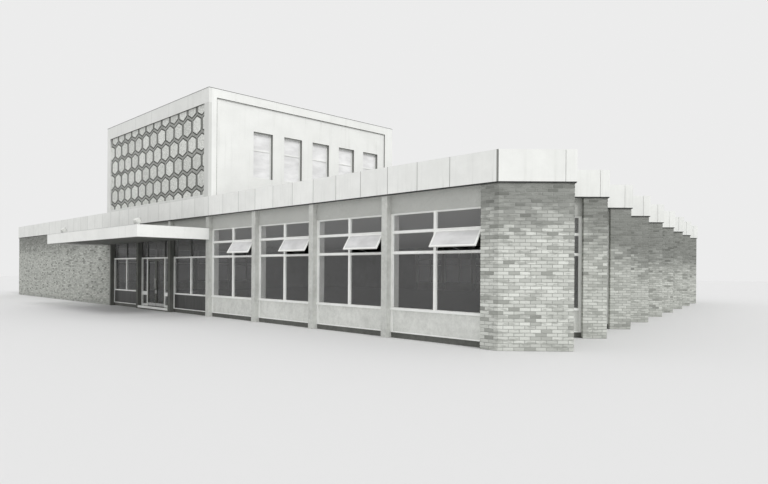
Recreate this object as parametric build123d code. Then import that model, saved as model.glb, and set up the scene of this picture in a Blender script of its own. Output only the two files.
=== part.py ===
from build123d import *
from math import cos, radians, sin, sqrt, tan
import os

os.makedirs("parts", exist_ok=True)

# A single-storey public library with a taller block over its entrance.
# The plan is drawn from the front right corner: x runs left (negative) along the front,
# y runs into the building, z runs up from the ground. All sizes are in millimetres.

# Plan
bay = 3048.0
corner_return = 457.0
front_length = 37150.0
column_width = 203.0
column_depth = 340.0
wall_thickness = 280.0
tooth_angle = 45.0
tooth_face = 1620.0
tooth_return = 2660.0
tooth_pier = 600.0
tooth_count = 9
rear_margin = 900.0
window_bays = (0, 1, 2, 3)
screen_bays = (4, 6)
door_bay = 5
last_column = 7

# Levels
floor_top = 140.0
wall_top = 3630.0
fascia_top = 4320.0
roof_thickness = 200.0
sill_level = 735.0
low_transom = 2155.0
high_transom = 2675.0
head_level = 3145.0

# Fascia and parapet
fascia_thickness = 45.0
fascia_joint = 10.0
fascia_panel = bay / 3
fascia_offset = 50.0
corner_panel = 200.0
shortest_panel = 300.0
parapet_thickness = 130.0
parapet_drop = 20.0
parapet_joint = 8.0

# Window joinery
frame_setback = 150.0
frame_depth = 70.0
frame_face = 70.0
bar_face = 55.0
mullion_face = 80.0
sill_nose = 25.0
bottom_rail = 30.0
glass_thickness = 10.0
panel_setback = 15.0
panel_thickness = 40.0
lintel_setback = 130.0
plinth_setback = 180.0
vent_angle = 32.0
vent_stile = 42.0
vent_depth = 32.0
vent_gap = 2.0
hinge_radius = 6.0
hinge_length = 60.0
hinge_leaf = 3.0
hinge_inset = 180.0

# Entrance
side_light = 620.0
door_right_margin = 640.0
door_setback = 160.0
door_thickness = 45.0
door_gap = 6.0
door_stile = 85.0
door_rail = 150.0
kick_rail = 90.0
lock_rail_low = 600.0
lock_rail_high = 750.0
handle_level = 1100.0
handle_length = 420.0
handle_radius = 11.0
handle_reach = 45.0
handle_arm_radius = 8.0
handle_arm_spread = 170.0

# Taller block over the entrance
block_right = -12510.0
block_width = 9590.0
block_depth = 9240.0
block_top = 8240.0
band_bottom = 7710.0
relief_bottom = 4410.0
strip_width = 330.0
side_band_bottom = 7920.0
side_near_strip = 275.0
side_far_strip = 470.0
block_wall = 250.0
side_recess = 60.0
relief_recess = 120.0
block_roof_thickness = 120.0
block_roof_drop = 30.0

# Honeycomb relief on its front
hexagon_rows = 5
hexagons_per_row = 12
hexagon_gap = 110.0
hexagon_relief = 75.0
hexagon_taper = 12.0

# Windows of the taller block
block_window_width = 870.0
block_window_pitch = 1408.0
block_window_start = 1860.0
block_window_bottom = 5200.0
block_window_top = 6960.0
block_window_transom = 6280.0
block_window_count = 5
block_window_setback = 190.0
block_frame_depth = 50.0
block_frame_face = 45.0

# Canopy and the two flood lights on it
canopy_projection = 2600.0
canopy_bottom = 2770.0
canopy_top = 3180.0
canopy_edge = 60.0
canopy_soffit_lift = 60.0
canopy_roof_drop = 40.0
light_width = 330.0
light_height = 190.0
light_depth = 150.0
light_taper = 14.0
light_tilt = 25.0
light_lift = 175.0
light_setback = 200.0
light_arm = 12.0
light_pivot = 16.0
light_places = (-500.0, 1500.0 - block_width)

# Left and rear walls, which repeat the front's bays
left_bays = 4
left_first_bay = 6000.0
rear_bays = 6
rear_first_bay = 9000.0

face_x = cos(radians(tooth_angle))
face_y = sin(radians(tooth_angle))
tooth_step_x = tooth_face * face_x - tooth_return * face_y
tooth_step_y = tooth_face * face_y + tooth_return * face_x
depth = tooth_step_y * tooth_count + rear_margin
left_end = -front_length
rear_corner_x = tooth_step_x * tooth_count
rear_corner_y = tooth_step_y * tooth_count
half_turn = tan(radians(tooth_angle / 2))
frame_back = frame_setback + frame_depth
roof_top = wall_top + roof_thickness

# The part's origin is the centre of its box, on the ground.
box_left = left_end - fascia_thickness
box_right = tooth_face * face_x + fascia_thickness * sqrt(2)
box_front = -canopy_projection
box_rear = depth + fascia_thickness
origin_x = (box_left + box_right) / 2
origin_y = (box_front + box_rear) / 2


def save(name, shapes):
    solids = [solid for shape in shapes for solid in shape.solids()]
    export_step(Pos(-origin_x, -origin_y, 0) * Compound(solids), f"parts/{name}.step")


def block(x0, x1, y0, y1, z0, z1):
    low_x, high_x = min(x0, x1), max(x0, x1)
    return Pos((low_x + high_x) / 2, (y0 + y1) / 2, (z0 + z1) / 2) * Box(high_x - low_x, y1 - y0, z1 - z0)


def prism(points, z0, z1):
    return Pos(0, 0, z0) * extrude(make_face(Polyline(*points, close=True)), z1 - z0)


def tapered(outline, height, angle):
    """A block that narrows upwards from the outline by the angle in degrees."""
    top = offset(outline, -height * tan(radians(angle)), kind=Kind.INTERSECTION)
    return loft([outline.face(), (Pos(0, 0, height) * top).face()], ruled=True)


def tooth_corner(index):
    """The inner left end of one face of the stepped side."""
    return tooth_step_x * index, tooth_step_y * index


def tooth_point(index, along, inward):
    x, y = tooth_corner(index)
    return x + along * face_x - inward * face_y, y + along * face_y + inward * face_x


def tooth_place(index):
    x, y = tooth_corner(index)
    return Pos(x, y, 0) * Rot(0, 0, tooth_angle)


def column_edges(index):
    middle = -corner_return - bay * index
    return middle - column_width / 2, middle + column_width / 2


def bay_span(index):
    """The clear width of one front bay, from its left end to its right end."""
    right = -corner_return if index == 0 else column_edges(index)[0]
    return column_edges(index + 1)[1], right


def wall_outline():
    points = [(left_end, 0.0), (0.0, 0.0)]
    for index in range(tooth_count):
        points.append(tooth_point(index, tooth_face, 0))
        points.append(tooth_corner(index + 1))
    return points + [(rear_corner_x, depth), (left_end, depth)]


# Where each bay stands: its placing and its clear width. A bay is drawn with its left end
# at x = 0 and the wall's outer face at y = 0.
def front_place(index):
    left, right = bay_span(index)
    return Pos(left, 0, 0), right - left


front_places = [front_place(i) for i in window_bays]
screen_places = [front_place(i) for i in screen_bays]
door_place = front_place(door_bay)
side_places = [(tooth_place(i), tooth_face - tooth_pier) for i in range(1, tooth_count)]
left_places = [
    (Pos(left_end, left_first_bay + bay * (i + 1) - column_width / 2, 0) * Rot(0, 0, -90), bay - column_width)
    for i in range(left_bays)
]
rear_places = [
    (Pos(left_end + rear_first_bay + bay * (i + 1) - column_width / 2, depth, 0) * Rot(0, 0, 180),
     bay - column_width)
    for i in range(rear_bays)
]
back_places = left_places + rear_places


def placed(places, maker, *settings):
    return [place * piece for place, width in places for piece in maker(width, *settings)]


# Brick walls
front_brick_right = column_edges(last_column)[0]
front_brick = block(left_end, front_brick_right, 0, wall_thickness, 0, wall_top)
save("front_brick_wall", [front_brick])

corner_pier = prism(
    [(-corner_return, 0), (0, 0), tooth_point(0, tooth_face, 0), tooth_point(0, tooth_face, wall_thickness),
     (-wall_thickness * half_turn, wall_thickness), (-corner_return, wall_thickness)],
    0, wall_top,
)
save("corner_pier", [corner_pier])

side_piers = [
    tooth_place(i) * block(tooth_face - tooth_pier, tooth_face, 0, wall_thickness, 0, wall_top)
    for i in range(1, tooth_count)
]
save("side_piers", side_piers)

# Each wall that runs back from a step stops past the next face. The last meets the rear wall's corner.
last_tooth = tooth_count - 1
side_returns = [
    tooth_place(i) * block(tooth_face - wall_thickness, tooth_face, wall_thickness, tooth_return + wall_thickness,
                           0, wall_top)
    for i in range(last_tooth)
]
corner_mitre = (rear_corner_x - wall_thickness, rear_corner_y - wall_thickness * half_turn)
side_returns.append(prism(
    [tooth_point(last_tooth, tooth_face, wall_thickness), (rear_corner_x, rear_corner_y), corner_mitre,
     tooth_point(last_tooth, tooth_face - wall_thickness, wall_thickness)],
    0, wall_top,
))
rear_corner_wall = prism(
    [(rear_corner_x, rear_corner_y), (rear_corner_x, depth - wall_thickness),
     (rear_corner_x - wall_thickness, depth - wall_thickness), corner_mitre],
    0, wall_top,
)
save("side_return_walls", side_returns + [rear_corner_wall])


def left_run(y0, y1, thickness=wall_thickness):
    return block(left_end, left_end + thickness, y0, y1, 0, wall_top)


def rear_run(x0, x1, thickness=wall_thickness):
    return block(x0, x1, depth - thickness, depth, 0, wall_top)


left_wall = [
    left_run(wall_thickness, left_first_bay - column_width / 2),
    left_run(left_first_bay + bay * left_bays + column_width / 2, depth - wall_thickness),
]
save("left_wall", left_wall)

rear_wall = [
    rear_run(left_end, left_end + rear_first_bay - column_width / 2),
    rear_run(left_end + rear_first_bay + bay * rear_bays + column_width / 2, rear_corner_x),
]
save("rear_wall", rear_wall)

# Columns between the bays, deeper than the walls
columns = [block(*column_edges(i), 0, column_depth, 0, wall_top) for i in range(1, last_column + 1)]
for i in range(left_bays + 1):
    middle = left_first_bay + bay * i
    columns.append(left_run(middle - column_width / 2, middle + column_width / 2, column_depth))
for i in range(rear_bays + 1):
    middle = left_end + rear_first_bay + bay * i
    columns.append(rear_run(middle - column_width / 2, middle + column_width / 2, column_depth))
save("wall_columns", columns)

# Glazed bays
light_rows = (
    (sill_level + bar_face / 2, low_transom - bar_face / 2),
    (low_transom + bar_face / 2, high_transom - bar_face / 2),
    (high_transom + bar_face / 2, head_level - bar_face / 2),
)


def window_frame(width, mullion):
    bars = [
        block(0, frame_face, frame_setback, frame_back, floor_top, head_level),
        block(width - frame_face, width, frame_setback, frame_back, floor_top, head_level),
        block(0, width, frame_setback, frame_back, floor_top, floor_top + bottom_rail),
        block(0, width, frame_setback, frame_back, head_level - bar_face / 2, head_level),
        block(0, width, frame_setback - sill_nose, frame_back, sill_level - bar_face / 2, sill_level + bar_face / 2),
    ]
    for level in (low_transom, high_transom):
        bars.append(block(0, width, frame_setback, frame_back, level - bar_face / 2, level + bar_face / 2))
    if mullion:
        middle = width / 2
        bars.append(block(middle - mullion_face / 2, middle + mullion_face / 2, frame_setback, frame_back,
                          sill_level, head_level))
    return [Part() + bars]


def pane(left, right, low, high):
    middle = frame_setback + frame_depth / 2
    return block(left, right, middle - glass_thickness / 2, middle + glass_thickness / 2, low, high)


def window_glass(width, mullion, vented):
    """The panes between the bars. A vented bay has none behind its open sash."""
    spans = [(frame_face, width - frame_face)]
    if mullion:
        spans = [(frame_face, (width - mullion_face) / 2), ((width + mullion_face) / 2, width - frame_face)]
    return [
        pane(left, right, low, high)
        for row, (low, high) in enumerate(light_rows)
        for side, (left, right) in enumerate(spans)
        if not (vented and row == 1 and side == 1)
    ]


def window_panel(width):
    y0 = frame_setback + panel_setback
    return [block(frame_face, width - frame_face, y0, y0 + panel_thickness,
                  floor_top + bottom_rail, sill_level - bar_face / 2)]


def window_lintel(width):
    return [block(0, width, lintel_setback, wall_thickness, head_level, wall_top)]


def window_plinth(width):
    return [block(0, width, plinth_setback, wall_thickness, 0, floor_top)]


def vent_hinge(x):
    knuckle = Pos(x, -hinge_radius, hinge_radius) * Rot(0, 90, 0) * Cylinder(hinge_radius, hinge_length)
    leaf = block(x - hinge_length / 2, x + hinge_length / 2, -hinge_leaf, 0, hinge_radius, bar_face / 2)
    return knuckle + leaf


def vent(width):
    """The open top-hung sash of one bay and its glass, hung on the high transom."""
    left = (width + mullion_face) / 2 + vent_gap
    right = width - frame_face - vent_gap
    bottom = low_transom - high_transom + bar_face + 2 * vent_gap
    middle = -vent_depth / 2
    sash = block(left, right, -vent_depth, 0, bottom, 0)
    sash -= block(left + vent_stile, right - vent_stile, -vent_depth, 0, bottom + vent_stile, -vent_stile)
    glass = block(left + vent_stile, right - vent_stile, middle - glass_thickness / 2, middle + glass_thickness / 2,
                  bottom + vent_stile, -vent_stile)
    swing = Rot(-vent_angle, 0, 0)
    hinges = [vent_hinge(left + hinge_inset), vent_hinge(right - hinge_inset)]
    hung = Pos(0, frame_setback, high_transom - bar_face / 2)
    return hung * (swing * sash + hinges), hung * swing * glass


all_places = front_places + side_places + back_places
save("front_window_frames", placed(front_places, window_frame, True))
save("front_window_glass", placed(front_places, window_glass, True, True))
save("side_window_frames", placed(side_places, window_frame, False))
save("side_window_glass", placed(side_places, window_glass, False, False))
save("back_window_frames", placed(back_places, window_frame, True))
save("back_window_glass", placed(back_places, window_glass, True, False))
save("spandrel_panels", placed(all_places, window_panel))
save("window_lintels", placed(all_places + screen_places + [door_place], window_lintel))
plinths = placed(all_places + screen_places, window_plinth)
save("window_plinths", plinths)
save("front_vents", placed(front_places, lambda width: [vent(width)[0]]))
save("front_vent_glass", placed(front_places, lambda width: [vent(width)[1]]))

# Entrance: two glazed screens, and between them a side light, the doors and a narrow screen
door_right = bay_span(door_bay)[1] - door_right_margin
door_left = bay_span(door_bay)[0] + side_light
door_head = low_transom - bar_face / 2
transom_rail = (door_head, low_transom + bar_face / 2)
top_rail = (head_level - bar_face / 2, head_level)
sill_rail = (sill_level - bar_face / 2, sill_level + bar_face / 2)
foot_rail = (floor_top, floor_top + bottom_rail)
lock_rail = (lock_rail_low, lock_rail_high)
kick = (floor_top, floor_top + kick_rail)


def bar(left, right, low, high):
    return block(left, right, frame_setback, frame_back, low, high)


def entrance_frames():
    frames = []
    for index in screen_bays:
        left, right = bay_span(index)
        middle = (left + right) / 2
        bars = [bar(left, right, *rail) for rail in (foot_rail, sill_rail, transom_rail, top_rail)]
        bars.append(bar(left, left + frame_face, floor_top, head_level))
        bars.append(bar(right - frame_face, right, floor_top, head_level))
        bars.append(bar(middle - mullion_face / 2, middle + mullion_face / 2, sill_level, head_level))
        frames.append(Part() + bars)
    left, right = bay_span(door_bay)
    rails = (kick, lock_rail, transom_rail, top_rail)
    for outer, edge, inner in ((left, left + frame_face, door_left - frame_face),
                               (right, right - frame_face, door_right + frame_face)):
        frames.append(Part() + [bar(outer, inner, *rail) for rail in rails]
                      + [bar(outer, edge, floor_top, head_level)])
    return frames


def entrance_glass():
    over = (transom_rail[1], top_rail[0])
    sheets = []
    for index in screen_bays:
        left, right = bay_span(index)
        middle = (left + right) / 2
        for low, high in ((sill_rail[1], transom_rail[0]), over):
            sheets.append(pane(left + frame_face, middle - mullion_face / 2, low, high))
            sheets.append(pane(middle + mullion_face / 2, right - frame_face, low, high))
    left, right = bay_span(door_bay)
    for low, high in ((kick[1], lock_rail[0]), (lock_rail[1], transom_rail[0]), over):
        sheets.append(pane(left + frame_face, door_left - frame_face, low, high))
        sheets.append(pane(door_right + frame_face, right - frame_face, low, high))
    sheets.append(pane(door_left, door_right, *over))
    return sheets


def entrance_panel(width):
    y0 = frame_setback + panel_setback
    return [block(frame_face, width - frame_face, y0, y0 + panel_thickness, foot_rail[1], sill_rail[0])]


save("entrance_frames", entrance_frames())
save("door_jambs", [bar(x, x + frame_face, floor_top, head_level) for x in (door_left - frame_face, door_right)])
save("door_overlight", [bar(door_left, door_right, *transom_rail), bar(door_left, door_right, *top_rail)])
save("entrance_glass", entrance_glass())
save("entrance_panels", placed(screen_places, entrance_panel))
threshold = block(*bay_span(door_bay), 0, wall_thickness, 0, floor_top)
save("door_threshold", [threshold])


def door_leaf(left, right, handle_x):
    y0, y1 = door_setback, door_setback + door_thickness
    z0, z1 = floor_top + door_gap, door_head - door_gap
    low, high = z0 + door_rail, z1 - door_stile
    leaf = block(left, right, y0, y1, z0, z1)
    leaf -= block(left + door_stile, right - door_stile, y0, y1, low, high)
    middle = (y0 + y1) / 2
    glass = block(left + door_stile, right - door_stile, middle - glass_thickness / 2, middle + glass_thickness / 2,
                  low, high)
    leaf += Pos(handle_x, y0 - handle_reach, handle_level) * Cylinder(handle_radius, handle_length)
    for side in (-1, 1):
        arm = Rot(90, 0, 0) * Cylinder(handle_arm_radius, handle_reach)
        leaf += Pos(handle_x, y0 - handle_reach / 2, handle_level + side * handle_arm_spread) * arm
    return leaf, glass


door_middle = (door_left + door_right) / 2
left_edge, right_edge = door_middle - door_gap / 2, door_middle + door_gap / 2
left_leaf, left_glass = door_leaf(door_left + door_gap, left_edge, left_edge - door_stile / 2)
right_leaf, right_glass = door_leaf(right_edge, door_right - door_gap, right_edge + door_stile / 2)
save("left_door_leaf", [left_leaf])
save("left_door_glass", [left_glass])
save("right_door_leaf", [right_leaf])
save("right_door_glass", [right_glass])

# Floor and roof
outline = wall_outline()
floor = prism(outline, 0, floor_top)
standing = [front_brick, corner_pier, rear_corner_wall, threshold]
standing += side_piers + side_returns + left_wall + rear_wall + columns + plinths
for piece in standing:
    floor -= piece
save("floor_slab", [max(floor.solids(), key=lambda solid: solid.volume)])
save("low_roof", [prism(outline, wall_top, roof_top)])

# The taller block's front wall rises through the parapet
block_left = block_right - block_width
recessed_left, recessed_right = block_left + side_recess, block_right - side_recess
front_face_y = -fascia_thickness
relief_back = front_face_y + relief_recess


def upstand(x0, x1, y0, y1):
    return block(x0, x1, y0, y1, roof_top, fascia_top - parapet_drop)


def roof_parapet():
    """Straight runs behind the fascia, with an open joint where two meet."""
    width, joint = parapet_thickness, parapet_joint
    mitre = width * half_turn
    runs = [
        upstand(left_end, recessed_left - joint, 0, width),
        upstand(recessed_left, recessed_right, 0, relief_back),
        upstand(recessed_right + joint, -mitre - joint, 0, width),
        upstand(left_end, left_end + width, width + joint, depth - width - joint),
        upstand(left_end, rear_corner_x, depth - width, depth),
        upstand(rear_corner_x - width, rear_corner_x, rear_corner_y + joint, depth - width - joint),
    ]
    for i in range(tooth_count):
        end = tooth_return if i == last_tooth else tooth_return + width
        runs.append(tooth_place(i) * upstand(joint, tooth_face, 0, width))
        runs.append(tooth_place(i) * upstand(tooth_face - width, tooth_face, width + joint, end - joint))
    return runs


save("roof_parapet", roof_parapet())

# Fascia: one ring of cladding round the roof's edge, cut into panels by open joints
wall_face = make_face(Polyline(*outline, close=True))
outer_face = offset(wall_face, fascia_thickness, kind=Kind.INTERSECTION)
fascia_ring = Pos(0, 0, wall_top) * extrude(outer_face - wall_face, fascia_top - wall_top)
joint_reach = 3 * fascia_thickness
joint_cut = block(-fascia_joint / 2, fascia_joint / 2, -joint_reach, joint_reach, wall_top, fascia_top)


def fascia_cuts():
    cuts = [Rot(0, 0, tooth_angle / 2) * joint_cut]
    for x, y, turn in ((left_end, 0, -45), (left_end, depth, 45), (rear_corner_x, depth, -45),
                       (rear_corner_x, rear_corner_y, tooth_angle / 2 - 90)):
        cuts.append(Pos(x, y, 0) * Rot(0, 0, turn) * joint_cut)
    first = column_edges(1)[1] + fascia_offset + 2 * fascia_panel
    for i in range(int(front_length / fascia_panel)):
        x = first - i * fascia_panel
        if x > left_end + shortest_panel:
            cuts.append(Pos(x, 0, 0) * joint_cut)
        if left_end + shortest_panel < x < rear_corner_x - shortest_panel:
            cuts.append(Pos(x, depth, 0) * joint_cut)
    for i in range(1, int(depth / fascia_panel)):
        cuts.append(Pos(left_end, i * fascia_panel, 0) * Rot(0, 0, 90) * joint_cut)
    for i in range(tooth_count):
        cuts.append(tooth_place(i) * Pos(tooth_face - corner_panel, 0, 0) * joint_cut)
        for inward in (corner_panel, corner_panel + fascia_panel, corner_panel + 2 * fascia_panel):
            cuts.append(tooth_place(i) * Pos(tooth_face, inward, 0) * Rot(0, 0, 90) * joint_cut)
        if i < last_tooth:
            cuts.append(tooth_place(i) * Pos(tooth_face, tooth_return, 0) * Rot(0, 0, 45) * joint_cut)
    return cuts


front_panels, back_panels, side_panels = [], [], []
for panel in (fascia_ring - fascia_cuts()).solids():
    box = panel.bounding_box()
    if box.max.Y < fascia_joint:
        front_panels.append(panel)
    elif box.max.X < left_end + fascia_joint or box.min.Y > depth - fascia_joint:
        back_panels.append(panel)
    else:
        side_panels.append(panel)
save("front_fascia", front_panels)
save("back_fascia", back_panels)
save("side_fascia", side_panels)

# The taller block
block_roof_bottom = block_top - block_roof_drop - block_roof_thickness
relief_left, relief_right = block_left + strip_width, block_right - strip_width
front_frame = block(block_left, block_right, front_face_y, relief_back, fascia_top, block_top)
front_frame -= block(relief_left, relief_right, front_face_y, relief_back, relief_bottom, band_bottom)
save("tower_front_frame", [front_frame])
relief_wall_back = relief_back + block_wall
save("tower_relief_wall", [
    block(recessed_left, recessed_right, relief_back, relief_wall_back, roof_top, block_roof_bottom)
])


def relief_hexagons():
    """Staggered rows of raised six-sided pads. Those at the field's edges are cut by it."""
    pitch = (relief_right - relief_left) / hexagons_per_row
    row_height = (band_bottom - relief_bottom) / hexagon_rows
    half = (pitch - hexagon_gap) / 2
    reach = row_height * 2 / 3 - hexagon_gap / sqrt(3)
    points = [(0, reach), (half, reach / 2), (half, -reach / 2), (0, -reach), (-half, -reach / 2), (-half, reach / 2)]
    pad = Rot(90, 0, 0) * tapered(make_face(Polyline(*points, close=True)), hexagon_relief, hexagon_taper)
    field = block(relief_left, relief_right, relief_back - hexagon_relief, relief_back, relief_bottom, band_bottom)
    pads = []
    for row in range(hexagon_rows + 1):
        staggered = row % 2 == 0
        count = hexagons_per_row if staggered else hexagons_per_row + 1
        for column in range(count):
            x = relief_left + (column + (0.5 if staggered else 0)) * pitch
            piece = Pos(x, relief_back, band_bottom - row * row_height) * pad
            inside = 0 < row < hexagon_rows and (staggered or 0 < column < hexagons_per_row)
            pads.append(piece if inside else piece & field)
    return pads


save("relief_hexagons", relief_hexagons())

block_back = block_depth - block_wall
window_spans = [
    (block_window_start + i * block_window_pitch, block_window_start + i * block_window_pitch + block_window_width)
    for i in range(block_window_count)
]


def long_wall(outer, inner):
    wall = block(outer, inner, relief_wall_back, block_back, roof_top, block_roof_bottom)
    for y0, y1 in window_spans:
        wall -= block(outer, inner, y0, y1, block_window_bottom, block_window_top)
    return wall


save("tower_right_wall", [long_wall(recessed_right, block_right - block_wall)])
save("tower_left_wall", [long_wall(recessed_left, block_left + block_wall)])
save("tower_rear_wall", [
    block(recessed_left, recessed_right, block_back, block_depth - side_recess, roof_top, block_roof_bottom)
])
save("tower_roof", [
    block(recessed_left, recessed_right, relief_back, block_depth - side_recess,
          block_roof_bottom, block_top - block_roof_drop)
])


def side_trim(outer, inner):
    """The band and strips that frame one long side."""
    return Part() + [
        block(outer, inner, relief_back, block_depth, side_band_bottom, block_top),
        block(outer, inner, relief_back, side_near_strip, fascia_top, side_band_bottom),
        block(outer, inner, block_depth - side_far_strip, block_depth, fascia_top, side_band_bottom),
    ]


rear_band = block(recessed_left, recessed_right, block_depth - side_recess, block_depth, side_band_bottom, block_top)
save("tower_side_trim", [side_trim(block_right, recessed_right), side_trim(block_left, recessed_left), rear_band])


def block_window(y0, y1, outer, inward):
    """The frame and the two panes of one window of the taller block."""
    near = outer + inward * block_window_setback
    far = near + inward * block_frame_depth
    middle = (near + far) / 2
    face = block_frame_face
    lights = ((block_window_bottom + face, block_window_transom - face / 2),
              (block_window_transom + face / 2, block_window_top - face))
    frame = block(near, far, y0, y1, block_window_bottom, block_window_top)
    for low, high in lights:
        frame -= block(near, far, y0 + face, y1 - face, low, high)
    panes = [
        block(middle - glass_thickness / 2, middle + glass_thickness / 2, y0 + face, y1 - face, low, high)
        for low, high in lights
    ]
    return frame, panes


block_windows = [
    block_window(y0, y1, outer, inward)
    for y0, y1 in window_spans for outer, inward in ((block_right, -1), (block_left, 1))
]
save("tower_window_frames", [frame for frame, panes in block_windows])
save("tower_window_glass", [sheet for frame, panes in block_windows for sheet in panes])

# Canopy
inner_left, inner_right = block_left + canopy_edge, block_right - canopy_edge
inner_front = canopy_edge - canopy_projection
canopy = block(block_left, block_right, -canopy_projection, 0, canopy_bottom, canopy_top)
canopy -= block(inner_left, inner_right, inner_front, 0, canopy_bottom, canopy_top)
save("canopy_fascia", [canopy])
canopy_deck_top = canopy_top - canopy_roof_drop
save("canopy_roof", [
    block(inner_left, inner_right, inner_front, 0, canopy_bottom + canopy_soffit_lift, canopy_deck_top)
])


def flood_light(x):
    """A housing tilted up at the relief and held between two arms on a foot plate."""
    shell = extrude(Rectangle(light_width, light_height), light_depth, taper=light_taper)
    pivot = Box(light_width, light_pivot, light_pivot)
    lamp = Pos(0, 0, light_lift) * (Rot(90 + light_tilt, 0, 0) * Pos(0, 0, -light_depth / 2) * shell + pivot)
    for side in (-1, 1):
        outer = side * (light_width / 2 + light_arm)
        lamp += block(outer, outer - side * 2 * light_arm, -2 * light_arm, 2 * light_arm, 0, light_lift)
    lamp += block(-light_width / 2, light_width / 2, -2 * light_arm, 2 * light_arm, 0, light_arm)
    return Pos(x, light_setback - canopy_projection, canopy_deck_top) * lamp


save("canopy_lights", [flood_light(block_right + offset) for offset in light_places])
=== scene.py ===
import math
import random

import bpy
from mathutils import Matrix, Vector


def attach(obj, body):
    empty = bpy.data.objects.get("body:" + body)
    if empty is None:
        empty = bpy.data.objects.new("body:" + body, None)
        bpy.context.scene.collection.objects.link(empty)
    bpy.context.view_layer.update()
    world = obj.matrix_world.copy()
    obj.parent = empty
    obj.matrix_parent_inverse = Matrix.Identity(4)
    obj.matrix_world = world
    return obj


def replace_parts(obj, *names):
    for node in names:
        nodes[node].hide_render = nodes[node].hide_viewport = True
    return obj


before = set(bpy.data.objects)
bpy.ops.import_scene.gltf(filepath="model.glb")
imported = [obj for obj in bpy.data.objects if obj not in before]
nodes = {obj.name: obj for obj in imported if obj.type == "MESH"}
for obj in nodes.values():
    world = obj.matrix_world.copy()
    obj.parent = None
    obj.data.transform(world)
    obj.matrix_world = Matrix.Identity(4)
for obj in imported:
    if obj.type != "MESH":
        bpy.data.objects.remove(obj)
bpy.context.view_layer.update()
print("frame loaded:", len(nodes), "pieces")

# Plan positions below are measured from the building's front right corner, in metres.
frontCorner = Vector((17.99292, -12.79138, 0.0))
slant = math.sqrt(0.5)
plan = {
    "bay": 3.048, "column": 0.203, "cornerReturn": 0.457, "frontLength": 37.15, "depth": 28.13784,
    "toothFace": 1.62, "toothReturn": 2.66, "pierWidth": 0.60, "teeth": 9, "rearMargin": 0.90,
    "frontBays": 4, "leftFirstBay": 6.0, "leftBays": 4, "rearFirstBay": 9.0, "rearBays": 6,
    "wallTop": 3.63, "fasciaTop": 4.32, "blockLeft": -22.10, "blockRight": -12.51, "blockBack": 9.24,
    "canopyFront": -2.60,
}
toothStep = ((plan["toothFace"] - plan["toothReturn"]) * slant, (plan["toothFace"] + plan["toothReturn"]) * slant)


def planPoint(x, y, z=0.0):
    return frontCorner + Vector((x, y, z))


def toothPoint(index, along, inward):
    x, y = toothStep[0] * index, toothStep[1] * index
    return x + (along - inward) * slant, y + (along + inward) * slant


def wallMatrix(start, along):  # stands a piece drawn with its face at y = 0 on a wall's line
    x, y = along
    return planShift(*start) @ Matrix(((x, -y, 0.0), (y, x, 0.0), (0.0, 0.0, 1.0))).to_4x4()


def frontBay(index):  # a bay's left end and clear width
    right = -plan["cornerReturn"]
    if index:
        right -= plan["bay"] * index + plan["column"] / 2
    left = -plan["cornerReturn"] - plan["bay"] * (index + 1) + plan["column"] / 2
    return left, right - left


def linear(value):
    return value / 12.92 if value <= 0.04045 else ((value + 0.055) / 1.055) ** 2.4


def grey(level, tint=3):  # a grey as it should look, 0 to 255, with a faint olive tint
    return tuple(linear(channel / 255) for channel in (level, level + tint / 2, level - tint)) + (1.0,)


class Signal:  # one socket of a material, used like a number
    def __init__(self, tree, socket=None):
        self.tree = tree
        self.socket = socket

    def node(self, kind, settings=None, inputs=None, output=0):
        item = self.tree.nodes.new("ShaderNode" + kind)
        for name, value in (settings or {}).items():
            if name == "stops":
                fillRamp(item.color_ramp, value)
            else:
                setattr(item, name, value)
        for name, value in (inputs or {}).items():
            if isinstance(value, Signal):
                self.tree.links.new(value.socket, item.inputs[name])
            else:
                item.inputs[name].default_value = value
        return Signal(self.tree, item.outputs[output])

    def math(self, operation, first, second=0.0, clamp=False):
        return self.node("Math", {"operation": operation, "use_clamp": clamp}, {0: first, 1: second})

    def __add__(self, other): return self.math("ADD", self, other)
    def __radd__(self, other): return self.math("ADD", other, self)
    def __sub__(self, other): return self.math("SUBTRACT", self, other)
    def __rsub__(self, other): return self.math("SUBTRACT", other, self)
    def __mul__(self, other): return self.math("MULTIPLY", self, other)
    def __rmul__(self, other): return self.math("MULTIPLY", other, self)
    def __truediv__(self, other): return self.math("DIVIDE", self, other)
    def __gt__(self, other): return self.math("GREATER_THAN", self, other)
    def __lt__(self, other): return self.math("LESS_THAN", self, other)
    def __mod__(self, other): return self.math("FLOORED_MODULO", self, other)
    def __abs__(self): return self.math("ABSOLUTE", self)

    def floor(self):
        return self.math("FLOOR", self)

    def clamped(self):
        return self.math("ADD", self, 0.0, True)

    def ramp(self, *stops):
        return self.node("ValToRGB", {"stops": stops}, {0: self})

    def mix(self, first, second):  # from the first colour to the second
        return self.node("Mix", {"data_type": "RGBA"}, {0: self, 6: first, 7: second}, 2)

    def greys(self, first, second, tint=3):  # the same between two greys
        return self.mix(grey(first, tint), grey(second, tint))

    def step(self, low, high):  # 0 below low, 1 above high, smooth between
        return self.node("MapRange", {"interpolation_type": "SMOOTHSTEP"}, {0: self, 1: low, 2: high})


def fillRamp(ramp, stops):
    while len(ramp.elements) < len(stops):
        ramp.elements.new(1.0)
    for element, (place, colour) in zip(ramp.elements, stops):
        element.position = place
        element.color = colour


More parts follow.
